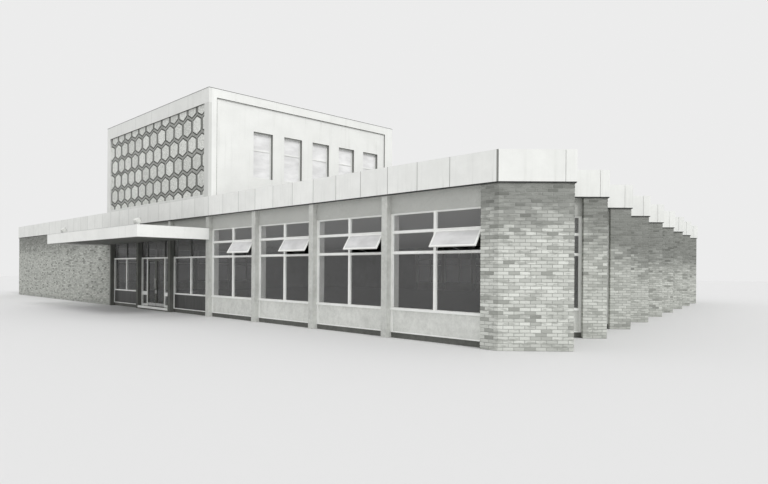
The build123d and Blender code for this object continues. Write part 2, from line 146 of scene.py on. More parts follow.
class Finish:  # a material, its shader and its patterns
    def __init__(self, name, **sockets):
        self.material = bpy.data.materials.new(name)
        self.material.use_nodes = True
        self.tree = self.material.node_tree
        self.shader = self.tree.nodes["Principled BSDF"]
        self.node = Signal(self.tree).node
        self.place = self.node("TexCoord", output="Object")
        self.set(**sockets)

    def set(self, **sockets):
        for name, value in sockets.items():
            socket = self.shader.inputs[name.replace("_", " ")]
            if isinstance(value, Signal):
                self.tree.links.new(value.socket, socket)
            else:
                socket.default_value = value

    def axis(self, name):  # the place along one axis of the plan
        value = self.node("SeparateXYZ", inputs={0: self.place}, output=name)
        return value if name == "Z" else value - frontCorner["XY".index(name)]

    def facing(self, name):  # how far the surface faces along one axis, -1 to 1
        normal = self.node("TexCoord", output="Normal")
        return self.node("SeparateXYZ", inputs={0: normal}, output=name)

    def noise(self, scale, detail=3.0, roughness=0.5, at=None):
        return self.node("TexNoise", inputs={
            "Vector": at or self.place, "Scale": scale, "Detail": detail, "Roughness": roughness})

    def streaks(self, x, y, z, detail, roughness):  # noise with its own scale along each axis
        place = self.node("Mapping", inputs={"Vector": self.place, "Scale": (x, y, z)})
        return self.noise(1.0, detail, roughness, place)

    def cells(self, scale, output="Distance"):
        return self.node("TexVoronoi", inputs={"Vector": self.place, "Scale": scale}, output=output)

    def chance(self, x, y, z=0.0):  # one random number for each whole-number place
        place = self.node("CombineXYZ", inputs={0: x, 1: y, 2: z})
        return self.node("TexWhiteNoise", {"noise_dimensions": "3D"}, {"Vector": place})

    def attribute(self, name):
        return self.node("Attribute", {"attribute_name": name}, output="Fac")

    def bump(self, height, strength, distance):
        normal = self.node("Bump", inputs={"Height": height, "Strength": strength, "Distance": distance})
        self.set(Normal=normal)


def cover(piece, finish):
    piece.data.materials.clear()
    piece.data.materials.append(finish.material)


def dress(finish, *names):
    for name in names:
        cover(nodes[name], finish)


def setMode(mode):
    bpy.ops.object.mode_set(mode=mode)


def selectOnly(*pieces):
    bpy.ops.object.select_all(action="DESELECT")
    for piece in pieces:
        piece.select_set(True)
    bpy.context.view_layer.objects.active = pieces[0]


def applyModifiers(piece):
    selectOnly(piece)
    for modifier in list(piece.modifiers):
        bpy.ops.object.modifier_apply(modifier=modifier.name)


def shape(kind, **settings):  # a new primitive, opened in edit mode
    bpy.ops.object.select_all(action="DESELECT")
    getattr(bpy.ops.mesh, f"primitive_{kind}_add")(**settings)
    bpy.ops.object.transform_apply(location=False, rotation=True, scale=False)
    setMode("EDIT")
    return bpy.context.object


def pick(piece, test):  # selects the faces that pass a test on their normal and centre
    setMode("OBJECT")
    for polygon in piece.data.polygons:
        polygon.select = test(polygon.normal, polygon.center)
    setMode("EDIT")
    bpy.ops.mesh.select_mode(type="FACE")


def facesFront(normal, centre):
    return normal.y < -0.5


def close(piece):
    setMode("OBJECT")
    return piece


def trim(point, normal):  # cuts off what lies beyond the plane and closes the cut
    bpy.ops.mesh.select_all(action="SELECT")
    bpy.ops.mesh.bisect(plane_co=point, plane_no=normal, use_fill=True, clear_outer=True)


def mitre(length, turns):  # cuts a run's two ends to half of its corners' turns
    for x, turn, side in ((0.0, turns[0], -1.0), (length, turns[1], 1.0)):
        trim((x, 0.0, 0.0), (side * math.cos(turn / 2), math.sin(turn / 2), 0.0))


def stretch(low, high):  # fits the unit shape being edited between two corners
    bpy.ops.transform.resize(value=[b - a for a, b in zip(low, high)])
    bpy.ops.transform.translate(value=[(a + b) / 2 for a, b in zip(low, high)])


def easeEdges(width):
    bpy.ops.mesh.bevel(offset=width, affect="EDGES")


def easedBlock(low, high, ease):  # a block with eased edges
    piece = shape("cube", size=1.0)
    stretch(low, high)
    easeEdges(ease)
    return close(piece)


def arrayed(piece, count, offset):
    modifier = piece.modifiers.new("repeat", "ARRAY")
    modifier.count = count
    modifier.use_relative_offset = False
    modifier.use_constant_offset = True
    modifier.constant_offset_displace = offset


def copied(piece, matrix):
    twin = piece.copy()
    twin.data = piece.data.copy()
    bpy.context.scene.collection.objects.link(twin)
    twin.data.transform(matrix)
    return twin


def moved(piece, matrix):
    piece.data.transform(matrix)
    return piece


def shift(x, y, z):
    return Matrix.Translation((x, y, z))


def planShift(x, y, z=0.0):
    return Matrix.Translation(planPoint(x, y, z))


def setFaces(piece, name, values):  # one number for each face
    piece.data.attributes.new(name, "FLOAT", "FACE").data.foreach_set("value", values)


def gather(name, parts, finish, body="building"):
    selectOnly(*parts)
    if len(parts) > 1:
        bpy.ops.object.join()
    piece = bpy.context.view_layer.objects.active
    piece.name = piece.data.name = name
    cover(piece, finish)
    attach(piece, body)
    triangles = sum(len(polygon.vertices) - 2 for polygon in piece.data.polygons)
    print(name, triangles, "triangles")
    return piece


# Finishes of the CAD pieces

masonryLook = {  # darkest and palest grey, then the grain's scale and depth
    "mortar": (142, 172, 160.0, 0.003), "column": (180, 216, 90.0, 0.003), "lintel": (180, 216, 95.0, 0.004),
    "spandrel": (198, 232, 120.0, 0.003), "plinth": (84, 112, 60.0, 0.004), "parapet": (52, 70, 60.0, 0.004),
    "reliefGround": (126, 186, 46.0, 0.012),
}
canopyShade = {"left": -21.85, "right": -13.0, "back": 0.36, "top": 2.84, "dark": 84, "pale": 112}


def underCanopy(finish, body):  # painted shade: what stands behind the canopy gets the canopy's shadow as a darker grey
    look, x = canopyShade, finish.axis("X")
    inside = (x > look["left"]) * (x < look["right"])
    inside = inside * (finish.axis("Y") < look["back"]) * (finish.axis("Z") < look["top"])
    return inside.mix(body, finish.noise(3.0).greys(look["dark"], look["pale"]))


def makeMasonry(name, shaded=False):
    low, high, grainScale, depth = masonryLook[name]
    finish = Finish(name + "Finish", Roughness=0.9)
    grain = finish.noise(grainScale, 3.0, 0.7)
    blotch = finish.noise(9.0, 4.0, 0.7)
    patch = finish.noise(1.7, 4.0, 0.6)
    body = (patch * 0.3 + grain * 0.35 + blotch * 0.35).step(0.32, 0.68).greys(low, high)
    finish.set(Base_Color=underCanopy(finish, body) if shaded else body)
    finish.bump(grain, 0.4, depth)
    return finish


def makeAggregate(name, bed=46):  # exposed stone chips in a bed that is darker by so much
    low, high, chipScale, depth = masonryLook[name]
    finish = Finish(name + "Finish", Roughness=0.85)
    chip = finish.cells(chipScale, "Color")
    gap = finish.cells(chipScale)
    patch = finish.noise(1.3, 3.0, 0.6)
    body = (chip * 0.5 + patch * 0.5).greys(low, high)
    body = (gap.step(0.25, 0.75) * 0.5).mix(body, grey(low - bed))
    # lintels behind the canopy take the same painted shade
    finish.set(Base_Color=underCanopy(finish, body))
    finish.bump(1 - gap, 0.5, depth)
    return finish


# the underside grey is painted shade on the fascia's bottom face
fasciaLook = {
    "pale": 246, "dull": 236, "stain": 206, "dimGrey": 186, "joint": 138, "underside": 60, "cornerJoint": 0.03,
    "panel": 1.016, "firstJoint": -1.3215, "lastJoint": -0.6, "cornerPanel": 0.20, "jointDirt": 0.016,
    "frontJoints": 0.8, "sideJoints": 0.45, "frontDimming": (-27.0, -18.0, 0.22), "sideShadeDimming": (-1.0, 0.5, 0.2),
}


def makeFascia(name, side):
    look = fasciaLook
    finish = Finish(name, Roughness=0.72)
    x, y, z = finish.axis("X"), finish.axis("Y"), finish.axis("Z")
    if side:  # along the faces, then along the walls that run back
        face, back = (x + y) * slant, (y - x) * slant
        along = (back % plan["toothReturn"] - look["cornerPanel"]) / look["panel"]
        panel = finish.chance((face / plan["toothFace"]).floor(), (back / plan["toothReturn"]).floor(), along.floor())
    else:
        along = (x - look["firstJoint"]) / look["panel"]
        panel = finish.chance(along.floor(), (y / look["panel"]).floor())
    streaks = finish.streaks(11.0, 11.0, 0.7, 4.0, 0.65)
    patch = finish.noise(2.4, 4.0, 0.6)
    body = (panel * 0.25 + patch * 0.75).step(0.25, 0.75).greys(look["dull"], look["pale"], 2)
    height = (z - plan["wallTop"]) / (plan["fasciaTop"] - plan["wallTop"])
    dripAndShadow = streaks.step(0.5, 0.72) * (0.30 + (0.5 - height).clamped() * 0.7)
    body = (dripAndShadow * 0.55).mix(body, grey(look["stain"]))
    edge = 1 - (0.5 - abs(along - along.floor() - 0.5)).step(0.0, look["jointDirt"])
    # darker towards the front's left end; on the sides, painted shade that tones down the sunlit fascia
    start, end, amount = look["sideShadeDimming" if side else "frontDimming"]
    if side:
        edge = edge * look["sideJoints"]
        dimming = y.step(start, end) * amount
    else:
        edge = edge * (x < look["lastJoint"]) * look["frontJoints"] + (x > -look["cornerJoint"])
        dimming = (1 - x.step(start, end)) * amount
    body = dimming.mix(edge.mix(body, grey(look["joint"])), grey(look["dimGrey"]))
    # painted shade: the fascia's underside is dark
    finish.set(Base_Color=(z < plan["wallTop"] + 0.002).mix(body, grey(look["underside"], 2)))
    finish.bump(finish.noise(120.0, 2.0), 0.12, 0.002)
    return finish


renderLook = {
    "pale": 243, "dull": 234, "stain": 212, "underside": 70, "reveal": 138, "revealShadeIn": (-22.036, -12.574),
    "bandBottom": 7.71, "bandJoint": 1.598, "jointHalf": 0.004, "jointLevel": 130, "jointedIn": (-22.0, -12.6),
    "shadeFrom": -12.84, "shadeLevel": 176, "farStripShadeFrom": 8.0, "frontShadeDrop": 12,
}


def makeRender(name, drop=0, jointed=False, shadedReveals=False):
    look = renderLook
    finish = Finish(name, Roughness=0.8)
    x, z, forward = finish.axis("X"), finish.axis("Z"), finish.facing("Y") < -0.5
    patch = finish.noise(0.9, 5.0, 0.62)
    streaks = finish.streaks(5.0, 5.0, 0.35, 4.0, 0.6)
    speck = finish.noise(26.0, 3.0, 0.6)
    body = (patch * 0.7 + speck * 0.3).step(0.3, 0.65).greys(look["dull"] - drop, look["pale"] - drop, 2)
    body = (streaks.step(0.52, 0.75) * 0.35).mix(body, grey(look["stain"] - drop))
    if jointed:
        turn = (x - plan["blockRight"]) / look["bandJoint"]
        joint = (0.5 - abs(turn - turn.floor() - 0.5) < look["jointHalf"]) * (z > look["bandBottom"]) * forward
        joint = joint * (x > look["jointedIn"][0]) * (x < look["jointedIn"][1])
        body = (joint * 0.5).mix(body, grey(look["jointLevel"], 2))
        shade = (x > look["shadeFrom"]) * (z < look["bandBottom"])
        body = (shade * 0.3).mix(body, grey(look["shadeLevel"]))
    # painted shadow: undersides near the band's foot are dark
    underBandShade = (finish.facing("Z") < -0.5) * (z > look["bandBottom"] - 0.1)
    body = underBandShade.mix(body, grey(look["underside"]))
    # painted shade: front-facing faces at the far end of the side walls are darkened
    rear = forward * (finish.axis("Y") > look["farStripShadeFrom"])
    body = (rear * 0.8).mix(body, grey(look["underside"]))
    # painted shade in the window reveals of the block's side walls
    if shadedReveals:
        inside = (x > look["revealShadeIn"][0]) * (x < look["revealShadeIn"][1])
        body = inside.mix(body, grey(look["reveal"], 2))
    finish.set(Base_Color=body)
    finish.bump(finish.noise(70.0, 3.0) + speck * 0.5, 0.2, 0.003)
    return finish


paintLook = {"pale": 248, "dull": 236, "grime": 176, "shade": 66, "paleUpTo": 2.19}


def makePaint(name, shadeAboveDoors=False):  # oil paint on timber, with painted shade of the canopy above the doors
    look = paintLook
    finish = Finish(name)
    grain = finish.streaks(60.0, 60.0, 5.0, 3.0, 0.6)
    patch = finish.noise(3.0, 4.0, 0.6)
    body = (patch * 0.6 + grain * 0.4).step(0.3, 0.7).greys(look["dull"], look["pale"], 2)
    dirt = finish.noise(9.0, 4.0, 0.7).step(0.56, 0.8)
    body = (dirt * 0.35).mix(body, grey(look["grime"], 4))
    if shadeAboveDoors:
        # painted shade of the canopy above the doors
        body = (finish.axis("Z") > look["paleUpTo"]).mix(body, grey(look["shade"], 2))
    finish.set(Base_Color=body, Roughness=dirt * 0.2 + 0.36)
    finish.bump(grain, 0.12, 0.002)
    return finish


# the low and high greys are a painted reflection of ground and sky
glassLook = {"low": 156, "high": 200, "from": 2.1, "to": 2.8, "clear": 0.16, "backClear": 0.85, "ripple": 0.05,
             "obscured": (200, 224), "blockLift": 28}


def makeGlass(name, alpha):  # painted reflection: a little paler towards the top, where the sky shows in it
    look = glassLook
    finish = Finish(name, Roughness=0.03, Alpha=alpha)
    high = finish.axis("Z").step(look["from"], look["to"])
    finish.set(Base_Color=high.greys(look["low"], look["high"], 0))
    finish.bump(finish.noise(1.1, 1.0), look["ripple"], 0.02)
    return finish


def makeObscured(name, lift=0):  # rolled glass that lets light through but no view
    low, high = (level + lift for level in glassLook["obscured"])
    finish = Finish(name, Roughness=0.22)
    patch = finish.streaks(1.2, 1.2, 2.88, 3.0, 0.6)
    finish.set(Base_Color=patch.step(0.3, 0.7).greys(low, high, 0))
    finish.bump(finish.cells(160.0), 0.2, 0.002)
    return finish


roofLook = {"chips": (120, 168), "bed": 70, "chipScale": 48.0}
roofs = {  # name of the finish, height of the underside, its greys; the canopy's dark greys are painted shade
    "low_roof": ("lowRoofFinish", 3.64, (206, 220)), "tower_roof": ("towerRoofFinish", 8.10, (206, 220)),
    "canopy_roof": ("canopyRoofShadeFinish", 2.84, (90, 100)),
}


def makeRoofing(name, underside, ceiling):
    finish = Finish(name, Roughness=0.92)
    chip = finish.cells(roofLook["chipScale"], "Color")
    gap = finish.cells(roofLook["chipScale"])
    patch = finish.noise(0.7, 4.0, 0.6)
    low, high = roofLook["chips"]
    top = (chip * 0.55 + patch * 0.45).greys(low, high, 2)
    top = (gap.step(0.3, 0.8) * 0.5).mix(top, grey(roofLook["bed"], 2))
    plaster = patch.greys(*ceiling, 2)
    finish.set(Base_Color=(finish.axis("Z") < underside).mix(top, plaster))
    finish.bump(1 - gap, 0.5, 0.008)
    return finish


floorLook = {"top": 0.138, "blockPale": 122, "blockDark": 92, "joint": 60, "jointSize": 0.008, "scale": 3.0,
             "edge": (114, 142)}


def makeFloorSlab():
    look = floorLook
    finish = Finish("floorBlocks", Roughness=0.5)
    blocks = finish.node("TexBrick", inputs={
        "Vector": finish.place, "Color1": grey(look["blockPale"], 8), "Color2": grey(look["blockDark"], 8),
        "Mortar": grey(look["joint"], 4), "Mortar Size": look["jointSize"], "Scale": look["scale"]})
    edge = finish.noise(30.0, 3.0).greys(*look["edge"], 2)
    finish.set(Base_Color=(finish.axis("Z") > look["top"]).mix(edge, blocks))
    finish.bump(finish.noise(40.0, 2.0), 0.1, 0.002)
    return finish


doorLook = {"dark": 34, "pale": 62, "leafFace": 0.1595, "metal": 176}


def makeDoorTimber():  # dark stained timber, and the metal of its pull handle
    finish = Finish("doorTimber")
    grain = finish.streaks(42.0, 42.0, 1.6, 4.0, 0.7)
    handle = finish.axis("Y") < doorLook["leafFace"]
    timber = grain.step(0.3, 0.7).mix(grey(doorLook["dark"], 6), grey(doorLook["pale"], 9))
    finish.set(Base_Color=handle.mix(timber, grey(doorLook["metal"], 2)), Metallic=handle,
               Roughness=0.42 - handle * 0.14)
    finish.bump(grain * (1 - handle), 0.2, 0.002)
    return finish


darkLook = {"darkPanel": (58, 0.5), "shadowStrip": (44, 0.6)}  # grey and roughness
metalLook = {"alloy": (190, 0.30, 1.0), "lead": (128, 0.5, 0.4), "lampPaint": (226, 0.4, 0.1), "underside": 64}


def makeDark(name):
    level, roughness = darkLook[name]
    finish = Finish(name, Roughness=roughness)
    streak = finish.streaks(14.0, 14.0, 1.2, 3.0, 0.6)
    finish.set(Base_Color=streak.step(0.3, 0.7).greys(level - 9, level + 9, 1))
    finish.bump(finish.noise(90.0, 2.0), 0.15, 0.002)
    return finish


def makeMetal(name, shaded=False):  # bare metal, or paint with painted shade underneath
    level, roughness, metallic = metalLook[name]
    finish = Finish(name, Metallic=metallic)
    dull = finish.noise(14.0, 4.0, 0.65)
    if shaded:
        body = (finish.facing("Z") < -0.6).greys(level, metalLook["underside"])
    else:
        body = dull.step(0.3, 0.75).greys(level + 10, level - 14, 1)
    finish.set(Base_Color=body, Roughness=dull * 0.25 + roughness)
    finish.bump(finish.noise(220.0, 2.0), 0.08, 0.001)
    return finish


whitePaint = makePaint("whitePaint")
alloy = makeMetal("alloy")
lead = makeMetal("lead")
reliefGround = makeMasonry("reliefGround")

dress(makeMasonry("mortar"), "front_brick_wall", "left_wall", "rear_wall", "corner_pier", "side_piers",
      "side_return_walls")
dress(makeMasonry("column", shaded=True), "wall_columns")
dress(makeAggregate("lintel"), "window_lintels")
dress(makeMasonry("spandrel"), "spandrel_panels")
dress(makeMasonry("plinth"), "window_plinths", "door_threshold")
dress(makeMasonry("parapet"), "roof_parapet")
dress(reliefGround, "tower_relief_wall")
dress(makeFascia("frontFascia", side=False), "front_fascia", "back_fascia")
dress(makeFascia("sideFascia", side=True), "side_fascia")
# the block's front is a darker copy of the render: painted shade
dress(makeRender("frontRender", renderLook["frontShadeDrop"], jointed=True), "tower_front_frame")
dress(makeRender("revealShadeRender", shadedReveals=True), "tower_right_wall", "tower_left_wall")
dress(makeRender("whiteRender"), "tower_rear_wall", "tower_side_trim", "canopy_fascia")
dress(whitePaint, "front_window_frames", "side_window_frames", "back_window_frames", "front_vents",
      "tower_window_frames")
dress(makePaint("entrancePaintShaded", shadeAboveDoors=True), "entrance_frames", "door_jambs", "door_overlight")
dress(makeGlass("windowGlass", glassLook["clear"]), "front_window_glass", "side_window_glass",
      "entrance_glass", "left_door_glass", "right_door_glass")
dress(makeGlass("backWindowGlass", glassLook["backClear"]), "back_window_glass")
dress(makeObscured("obscuredGlass"), "front_vent_glass")
dress(makeObscured("blockGlass", glassLook["blockLift"]), "tower_window_glass")
for name, (finishName, underside, ceiling) in roofs.items():
    dress(makeRoofing(finishName, underside, ceiling), name)
dress(makeFloorSlab(), "floor_slab")
dress(makeDark("darkPanel"), "entrance_panels")
dress(makeDoorTimber(), "left_door_leaf", "right_door_leaf")
dress(makeMetal("lampPaint", shaded=True), "canopy_lights")
print("finishes made")

# Brickwork: each wall's bricks are laid from one brick, stand a little proud and show the mortar between

brickwork = {
    "pitch": 0.2325, "course": 0.0775, "joint": 0.010, "arris": 0.0045, "proud": 0.007, "embedded": 0.010,
    "revealDepth": 0.125, "frontRun": 15.2555, "leftFrontRun": 5.8985, "leftRearStart": 18.2935,
    "rearLeftRun": 8.8985, "rearRightStart": -9.7605, "nearReturns": 5, "mapGap": 0.05, "mapRim": 0.01,
    "seed": 7,
}
brickLook = {
    "tones": ((0.0, 116), (0.05, 152), (0.14, 192), (0.4, 212), (0.8, 224), (1.0, 238)),
    "speckle": 182, "patch": 160, "underFascia": 92, "splash": 150, "shadeFrom": 2.15, "shadeTo": 3.4,
    "farFrom": 2.0, "farTo": 8.0, "darkAndShadeDrop": 20,
}


def makeBrick(name, drop=0):
    look = brickLook
    finish = Finish(name, Roughness=0.88)
    tone = finish.attribute("tone")
    body = tone.ramp(*((place, grey(level - drop, 4)) for place, level in look["tones"]))
    speckle = finish.noise(50.0, 3.0, 0.65)
    dashes = finish.streaks(3.2, 3.2, 14.0, 3.0, 0.6)
    patch = finish.noise(1.1, 4.0, 0.6)
    away = finish.axis("Y").step(look["farFrom"], look["farTo"])  # far piers are darker, and lower down
    level = finish.axis("Z") + patch * 1.1 + (tone * 37.0 % 1.0) * 0.5 + away * 0.8 - 0.8
    high = level.step(look["shadeFrom"], look["shadeTo"])
    low = 1 - (finish.axis("Z") + patch * 0.3).step(0.1, 0.45)
    body = (away * 0.12).mix(body, grey(look["underFascia"]))
    body = (speckle * 0.55 + 0.05).mix(body, grey(look["speckle"] - drop, 4))
    body = (dashes.step(0.5, 0.62) * 0.7).mix(body, grey(look["patch"] - drop, 4))
    body = (high * 0.68).mix(body, grey(look["underFascia"]))
    finish.set(Base_Color=(low * 0.4).mix(body, grey(look["splash"] - drop, 4)))
    finish.bump(speckle + finish.noise(14.0, 2.0) * 0.6, 0.45, 0.004)
    return finish


brickFinish = makeBrick("facingBrick")
# the front wall's bricks are darker: partly darker bricks, partly painted shade
darkerBrickAndShade = makeBrick("darkerBrickAndShade", brickLook["darkAndShadeDrop"])


def addBrick(length, spec):
    height = spec["course"] - spec["joint"]
    brick = shape("cube", size=1.0)
    stretch((0.0, -spec["proud"], 0.0), (length, spec["embedded"], height))
    pick(brick, facesFront)
    easeEdges(spec["arris"])
    return close(brick)


def wallRun(start, along, length, turns, corners, **marks):  # marks: reveal at a jamb, flip for the other bond
    return dict(start=start, along=along, length=length, turns=turns, corners=corners, **marks)


def layRun(run, spec):  # a straight stretch, drawn from x = 0 with its face at y = 0
    length, joint, top = run["length"], spec["joint"], plan["wallTop"]
    halves = max(1, round((length + joint) / (spec["pitch"] / 2)))
    pitch = spec["pitch"] if run.get("reveal") else 2 * (length + joint) / halves
    first = -pitch
    if run.get("flip"):
        first -= pitch / 2
    if run.get("reveal"):
        first += length - (pitch / 2 - joint)
    brick = moved(addBrick(pitch - joint, spec), shift(first, 0.0, joint / 2))
    courses = math.ceil(top / spec["course"])
    arrayed(brick, 2, (-pitch / 2, 0.0, spec["course"]))
    arrayed(brick, math.ceil(length / pitch) + 3, (pitch, 0.0, 0.0))
    arrayed(brick, math.ceil(courses / 2), (0.0, 0.0, 2 * spec["course"]))
    applyModifiers(brick)
    setMode("EDIT")
    mitre(length, [math.radians(turn) for turn in run["turns"]])
    trim((0.0, 0.0, top - joint / 2), (0.0, 0.0, 1.0))
    close(brick)
    toneBricks(brick, run, pitch, first, spec)
    return brick


def toneBricks(piece, run, pitch, first, spec):  # a brick that turns a corner keeps its tone on both faces
    half = spec["joint"] / 2
    tones, found = {}, []
    names = run["corners"]
    for polygon in piece.data.polygons:
        centre = polygon.center
        course = math.floor(centre.z / spec["course"])
        left = first - (pitch / 2 if course % 2 else 0.0)
        index = math.floor((centre.x - left + half) / pitch)
        start, end = left + index * pitch, left + (index + 1) * pitch - spec["joint"]
        key = (run["name"], index, course)
        if names[0] and start < half:
            key = (names[0], course)
        elif names[1] and end > run["length"] - half:
            key = (names[1], course)
        if key not in tones:
            tones[key] = random.Random(str((spec["seed"],) + key)).random()
        found.append(tones[key])
    setFaces(piece, "tone", found)


def buildWall(name, runs, spec, finish=brickFinish):
    gap, rim = spec["mapGap"], spec["mapRim"]
    total = sum(run["length"] + gap for run in runs)
    done, laid = 0.0, []
    for number, run in enumerate(runs):
        run["name"] = f"{name}{number}"
        piece = layRun(run, spec)
        mesh = piece.data
        bakeMap = mesh.uv_layers.active or mesh.uv_layers.new()
        bakeMap.name = "OFBake"
        for loop in mesh.loops:
            at = mesh.vertices[loop.vertex_index].co
            bakeMap.data[loop.index].uv = ((done + gap / 2 + at.x) / total, (at.z + rim) / (plan["wallTop"] + 2 * rim))
        done += run["length"] + gap
        laid.append(moved(piece, wallMatrix(run["start"], run["along"])))
    gather(name, laid, finish)


def pierRuns(spec):
    runs, deep = [], spec["revealDepth"]
    left = plan["toothFace"] - plan["pierWidth"]
    for number in range(1, plan["teeth"]):
        jamb = f"jamb{number}"
        runs.append(wallRun(toothPoint(number, left, deep), (slant, -slant), deep, (0, 90), (None, jamb), reveal=True))
        runs.append(wallRun(toothPoint(number, left, 0.0), (slant, slant), plan["pierWidth"], (90, 90),
                            (jamb, f"tooth{number}")))
    return runs


def returnRuns(spec):
    runs = []
    for number in range(plan["teeth"]):
        last = number == plan["teeth"] - 1
        runs.append(wallRun(toothPoint(number, plan["toothFace"], 0.0), (-slant, slant),
                            plan["toothReturn"] + (0.0 if last else spec["revealDepth"]),
                            (90, -45 if last else 0), (f"tooth{number}", None)))
    return runs + [wallRun(rearCorner, (0.0, 1.0), plan["rearMargin"], (-45, 90), (None, "rearRight"))]


rearCorner = toothPoint(plan["teeth"], 0.0, 0.0)
frontLeft, pierLeft = -plan["frontLength"], -plan["cornerReturn"]
buildWall("front_wall_bricks", [
    wallRun((frontLeft, 0.0), (1.0, 0.0), brickwork["frontRun"], (90, 0), ("frontLeft", None)),
], brickwork, darkerBrickAndShade)
buildWall("corner_pier_bricks", [
    wallRun((pierLeft, brickwork["revealDepth"]), (0.0, -1.0), brickwork["revealDepth"], (0, 90), (None, "bayJamb"),
            reveal=True),
    wallRun((pierLeft, 0.0), (1.0, 0.0), plan["cornerReturn"], (90, 45), ("bayJamb", "squint")),
    wallRun((0.0, 0.0), (slant, slant), plan["toothFace"], (45, 90), ("squint", "tooth0"), flip=True),
], brickwork)
buildWall("side_pier_bricks", pierRuns(brickwork), brickwork)
returns = returnRuns(brickwork)
buildWall("near_return_bricks", returns[:brickwork["nearReturns"]], brickwork)
buildWall("far_return_bricks", returns[brickwork["nearReturns"]:], brickwork)
buildWall("left_wall_bricks", [
    wallRun((frontLeft, brickwork["leftFrontRun"]), (0.0, -1.0), brickwork["leftFrontRun"], (0, 90),
            (None, "frontLeft"), flip=True),
    wallRun((frontLeft, plan["depth"]), (0.0, -1.0), plan["depth"] - brickwork["leftRearStart"], (90, 0),
            ("rearLeft", None), flip=True),
], brickwork)
buildWall("rear_wall_bricks", [
    wallRun((rearCorner[0], plan["depth"]), (-1.0, 0.0), rearCorner[0] - brickwork["rearRightStart"], (90, 0),
            ("rearRight", None), flip=True),
    wallRun((frontLeft + brickwork["rearLeftRun"], plan["depth"]), (-1.0, 0.0), brickwork["rearLeftRun"], (0, 90),
            (None, "rearLeft")),
], brickwork)
print("bricks laid")

# Honeycomb relief: rough six-sided pads, each a little different, on a bed

relief = {
    "left": -21.77, "right": -12.84, "bottom": 4.41, "top": 7.71, "ground": 0.022, "wall": 0.0755,
    "firstRow": 7.707, "rowHeight": 0.672, "rows": 6, "firstPad": -12.763, "pitch": 0.745, "perRow": 13,
    "shoulder": 0.60, "bed": 0.004, "flange": 0.044, "depth": 0.010, "ease": 0.004, "rough": 0.006, "grain": 0.05,
    "jitter": 0.05, "turn": 3.0, "pale": 236, "dull": 190, "rim": 78, "seed": 11, "half": 0.350, "reach": 0.374,
    "taper": 0.95, "faceCuts": 4, "bedEase": 0.002,
}


def makeReliefStone():
    look = relief
    finish = Finish("reliefStone", Roughness=0.92)
    tone = finish.attribute("tone")
    chip = finish.cells(34.0, "Color")
    patch = finish.noise(9.0, 4.0, 0.75)
    body = (chip * 0.42 + patch * 0.46 + tone * 0.12).step(0.3, 0.7).greys(look["dull"], look["pale"])
    # painted shade: each pad's rim and sides are dark, for the shadow round the pad
    finish.set(Base_Color=finish.attribute("rim").mix(body, grey(look["rim"])))
    finish.bump(chip, 0.4, 0.004)
    return finish


def addPad(spec):  # one pad, its back at y = 0 and its face towards -y
    pad = shape("circle", vertices=6, radius=1.0, fill_type="NGON", rotation=(math.pi / 2, 0.0, 0.0))
    bpy.ops.transform.resize(value=(spec["half"] / math.cos(math.radians(30)), 1.0, spec["reach"]))
    bpy.ops.mesh.select_mode(type="VERT")
    bpy.ops.mesh.select_all(action="DESELECT")
    close(pad)
    for vertex in pad.data.vertices:
        vertex.select = abs(vertex.co.x) > 0.01
    setMode("EDIT")
    bpy.ops.transform.resize(value=(1.0, 1.0, spec["shoulder"] * 2))
    bpy.ops.mesh.select_all(action="SELECT")
    bpy.ops.mesh.extrude_region_move(TRANSFORM_OT_translate={"value": (0.0, -spec["bed"], 0.0)})
    bpy.ops.mesh.inset(thickness=spec["flange"])
    bpy.ops.mesh.extrude_region_move(TRANSFORM_OT_translate={"value": (0.0, -spec["depth"], 0.0)})
    bpy.ops.transform.resize(value=(spec["taper"], 1.0, spec["taper"]))
    bpy.ops.mesh.bevel(offset=spec["ease"], segments=2, affect="EDGES")
    bpy.ops.mesh.select_all(action="SELECT")
    bpy.ops.mesh.quads_convert_to_tris()
    bpy.ops.mesh.tris_convert_to_quads()
    pick(pad, lambda normal, centre: facesFront(normal, centre) and centre.y < -2 * spec["bed"])
    bpy.ops.mesh.subdivide(number_cuts=spec["faceCuts"])
    bpy.ops.object.vertex_group_assign_new()  # only the face is rough, the bed under it stays flat
    close(pad)
    rough = bpy.data.textures.new("padGrain", "CLOUDS")
    rough.noise_scale = spec["grain"]
    displace = pad.modifiers.new("rough face", "DISPLACE")
    displace.texture = rough
    displace.strength = spec["rough"]
    displace.mid_level = 1.0
    displace.vertex_group = pad.vertex_groups[0].name
    applyModifiers(pad)
    pad.vertex_groups.clear()
    # faces at the pad's foot take the painted shade
    sides = [1.0 if polygon.center.y > -spec["bed"] * 1.3 else 0.0 for polygon in pad.data.polygons]
    setFaces(pad, "rim", sides)
    return pad


